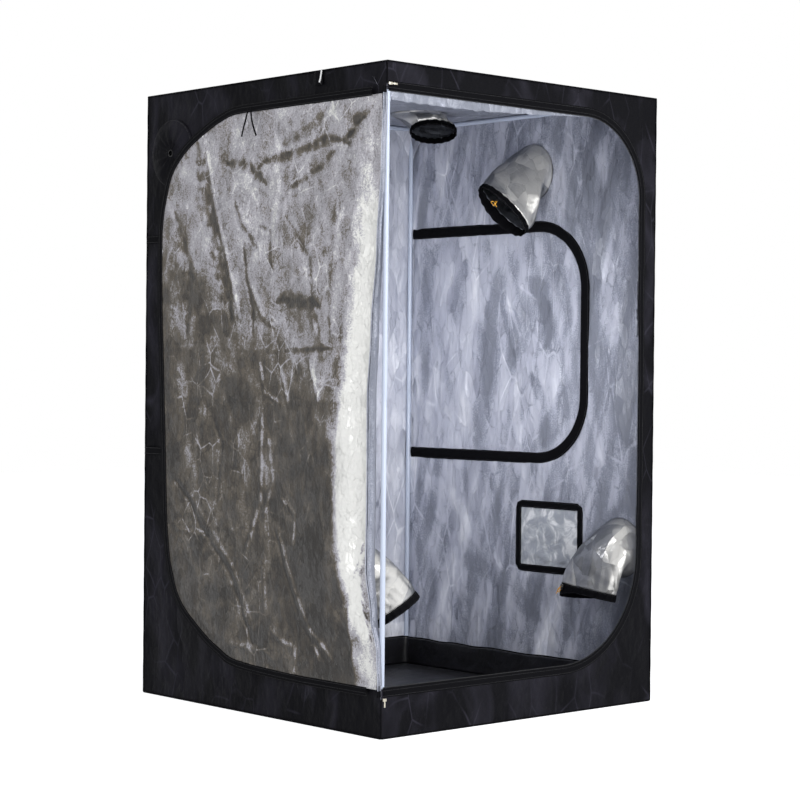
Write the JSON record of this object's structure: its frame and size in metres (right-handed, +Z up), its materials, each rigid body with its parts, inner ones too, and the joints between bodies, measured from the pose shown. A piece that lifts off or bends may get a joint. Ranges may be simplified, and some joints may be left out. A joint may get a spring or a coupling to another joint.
{
  "type": "indoor grow tent",
  "caption": "Square indoor grow tent of black cloth with a silver lining on a tube frame, its front door folded back, with a side door, small window and duct sleeves.",
  "frame": {"origin": "middle of the floor sheet's underside", "axes": "+Z up, front doorway towards -Y, left wall with the folded-back door towards -X"},
  "size_m": [1.2599, 1.2043, 2.0088],
  "materials": {
    "white_painted_steel": "powder coat, satin",
    "black_oxford_cloth": "woven polyester, matt",
    "silver_laminate": "metallised film on cloth, pebbled",
    "silver_sleeve": "metallised cloth, soft sheen",
    "black_tape": "woven binding tape, matt",
    "black_tray_cloth": "coated waterproof cloth",
    "clear_film": "clear soft film",
    "lock_plastic": "moulded",
    "slider_metal": "plated"
  },
  "bodies": {
    "tent": {"foot_corner_front_left": "white_painted_steel", "foot_corner_front_right": "white_painted_steel", "foot_corner_rear_left": "white_painted_steel", "foot_corner_rear_right": "white_painted_steel", "top_corner_front_left": "white_painted_steel", "top_corner_front_right": "white_painted_steel", "top_corner_rear_left": "white_painted_steel", "top_corner_rear_right": "white_painted_steel", "post_front_left": "white_painted_steel", "post_front_right": "white_painted_steel", "post_rear_left": "white_painted_steel", "post_rear_right": "white_painted_steel", "base_rail_front": "white_painted_steel", "base_rail_rear": "white_painted_steel", "base_rail_left": "white_painted_steel", "base_rail_right": "white_painted_steel", "top_rail_front": "white_painted_steel", "top_rail_rear": "white_painted_steel", "top_rail_left": "white_painted_steel", "top_rail_right": "white_painted_steel", "front_wall": "black_oxford_cloth", "rear_wall": "black_oxford_cloth", "left_wall": "black_oxford_cloth", "right_wall": "black_oxford_cloth", "roof_panel": "black_oxford_cloth", "floor_sheet": "black_oxford_cloth", "spill_tray": "black_tray_cloth", "front_light_flap": "silver_laminate", "front_door_seam_upper": "black_tape", "front_door_seam_lower": "black_tape", "side_door_band": "black_tape", "window_film": "clear_film", "window_frame": "black_tape", "right_upper_sleeve": "silver_sleeve", "right_upper_cuff": "black_tape", "right_upper_cord_lock": "lock_plastic", "right_upper_outer_sleeve": "black_oxford_cloth", "right_lower_sleeve": "silver_sleeve", "right_lower_cuff": "black_tape", "right_lower_cord_lock": "lock_plastic", "right_lower_outer_sleeve": "black_oxford_cloth", "left_upper_sleeve": "silver_sleeve", "left_upper_cuff": "black_tape", "left_upper_outer_sleeve": "black_oxford_cloth", "left_lower_sleeve": "silver_sleeve", "left_lower_cuff": "black_tape", "left_lower_outer_sleeve": "black_oxford_cloth", "roof_sleeve": "silver_sleeve", "roof_cuff": "black_tape", "roof_outer_sleeve": "black_oxford_cloth", "wall_webbing_upper": "black_tape", "wall_webbing_lower": "black_tape", "strap_loop": "black_tape"},
    "front_door_leaf": {"front_door": "silver_laminate", "front_door_tape": "black_tape"},
    "side_door_leaf": {"side_door": "silver_laminate"},
    "window_flap_leaf": {"window_flap": "black_oxford_cloth"},
    "top_slider": {"front_zip_slider_top": "slider_metal"},
    "bottom_slider": {"front_zip_slider_bottom": "slider_metal"},
    "side_slider": {"side_zip_slider": "slider_metal"}
  },
  "joints": [
    {"name": "front_door_hinge", "type": "hinge", "parent": "tent", "child": "front_door_leaf", "pos_m": [-0.612, -0.60105, 1.025], "axis": [0, 0, 1], "range_deg": [0, 270]},
    {"name": "side_door_hinge", "type": "hinge", "parent": "tent", "child": "side_door_leaf", "pos_m": [0.60105, 0.60105, 1.195], "axis": [0, 0, 1], "range_deg": [0, 268]},
    {"name": "window_flap_hinge", "type": "hinge", "parent": "tent", "child": "window_flap_leaf", "pos_m": [0.60105, -0.132, 0.635], "axis": [0, -1, 0], "range_deg": [0, 125]},
    {"name": "front_zip_top_slide", "type": "slide", "parent": "tent", "child": "top_slider", "axis": [1, 0, 0], "range_m": [0, 0.8]},
    {"name": "front_zip_bottom_slide", "type": "slide", "parent": "tent", "child": "bottom_slider", "axis": [1, 0, 0], "range_m": [0, 0.7]},
    {"name": "side_zip_slide", "type": "slide", "parent": "tent", "child": "side_slider", "axis": [0, -1, 0], "range_m": [0, 0.6]}
  ]
}
